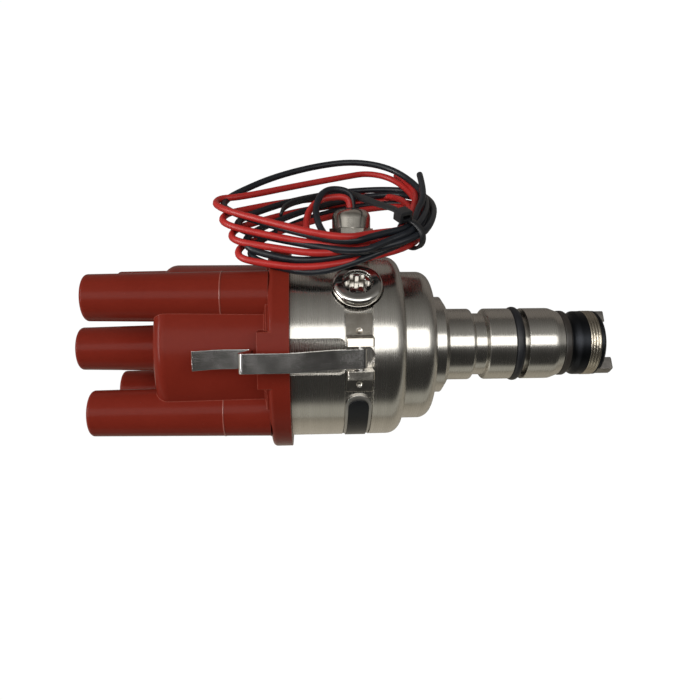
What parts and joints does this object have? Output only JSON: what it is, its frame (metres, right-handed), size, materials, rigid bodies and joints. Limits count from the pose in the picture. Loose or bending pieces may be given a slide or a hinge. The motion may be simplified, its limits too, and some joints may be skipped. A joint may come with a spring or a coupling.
{
  "type": "ignition distributor",
  "caption": "Electronic ignition distributor: turned housing with shank and drive lugs, clipped red cap with lead towers, cable gland and tied leads.",
  "frame": {"origin": "centre of the flat shoulder that seats on the engine, on the shaft axis", "axes": "+Z along the shaft towards the cap, -Y towards the front clip, +X along the cable gland"},
  "size_m": [0.1106, 0.0918, 0.1987],
  "materials": {
    "housing": "fine turned, satin",
    "cap_moulding": "glossy phenolic moulding",
    "rotor_moulding": "satin moulding",
    "brass": "drawn",
    "bronze": "sintered",
    "carbon": "pressed carbon",
    "steel": "ground",
    "clip_steel": "satin strip",
    "spring_steel": "drawn wire",
    "black_steel": "black oxide, oiled",
    "nickel": "bright nickel",
    "chrome": "polished",
    "rubber": "moulded",
    "fibre": "pressed",
    "circuit_board": "solder resist",
    "black_plastic": "moulded",
    "red_insulation": "smooth insulation",
    "black_insulation": "smooth insulation",
    "mixed_insulation": "smooth insulation",
    "label_black": "printed film, blank"
  },
  "bodies": {
    "housing": {"housing": "housing", "shank_seal": "rubber", "upper_bush": "bronze", "lower_bush": "bronze", "circuit_board": "circuit_board", "board_screws": "steel", "hall_sensors": "black_plastic", "coil_driver": "black_plastic", "capacitors": "black_plastic", "curve_switch": "black_plastic", "dust_cover": "black_plastic", "switch_plug": "chrome", "plug_seal": "rubber", "gland_body": "nickel", "gland_nut": "nickel", "gland_seal": "rubber", "type_plate": "clip_steel", "type_label": "label_black", "front_ear_upper": "nickel", "front_ear_lower": "nickel", "rear_ear_upper": "nickel", "rear_ear_lower": "nickel", "front_clip_pin": "steel", "rear_clip_pin": "steel", "red_lead": "red_insulation", "black_lead": "black_insulation", "lead_coil": "mixed_insulation", "cable_tie": "black_plastic"},
    "shaft": {"main_shaft": "steel", "thrust_washer": "bronze", "shaft_circlip": "spring_steel", "magnet_wheel": "black_plastic", "magnets": "steel", "drive_washer": "fibre", "drive_coupling": "black_steel", "drive_dog": "steel", "cross_pin": "steel", "retaining_spring": "spring_steel", "rotor_arm": "rotor_moulding", "rotor_blade": "brass"},
    "cap": {"distributor_cap": "cap_moulding", "side_terminal_1": "brass", "side_terminal_2": "brass", "side_terminal_3": "brass", "side_terminal_4": "brass", "centre_terminal": "brass", "brush_spring": "spring_steel"},
    "brush": {"carbon_brush": "carbon"},
    "front_clip": {"front_clip": "clip_steel"},
    "rear_clip": {"rear_clip": "clip_steel"},
    "curve_selector": {"switch_knob": "red_insulation"}
  },
  "joints": [
    {"name": "shaft_spin", "type": "hinge", "parent": "housing", "child": "shaft", "pos_m": [0, 0, 0], "axis": [0, 0, 1], "continuous": true},
    {"name": "cap_lift", "type": "slide", "parent": "housing", "child": "cap", "axis": [0, 0, 1], "range_m": [0, 0.0096]},
    {"name": "front_clip_swing", "type": "hinge", "parent": "housing", "child": "front_clip", "pos_m": [0, -0.0366, 0.0339], "axis": [1, 0, 0], "range_deg": [0, 120]},
    {"name": "rear_clip_swing", "type": "hinge", "parent": "housing", "child": "rear_clip", "pos_m": [0, 0.0366, 0.0339], "axis": [-1, 0, 0], "range_deg": [0, 120]},
    {"name": "brush_slide", "type": "slide", "parent": "cap", "child": "brush", "axis": [0, 0, 1], "range_m": [0, 0.003], "stiffness_N_per_m": 80, "springref_m": -0.008, "deforming": ["brush_spring"]},
    {"name": "curve_selector_turn", "type": "hinge", "parent": "housing", "child": "curve_selector", "pos_m": [0.0198, -0.0205, 0.0342], "axis": [0.6947, -0.7193, 0], "range_deg": [-168.75, 168.75]}
  ],
  "couplings": [
    {"joint": "front_clip_swing", "follows": "cap_lift", "rad_per_m": 218},
    {"joint": "rear_clip_swing", "follows": "cap_lift", "rad_per_m": 218}
  ]
}
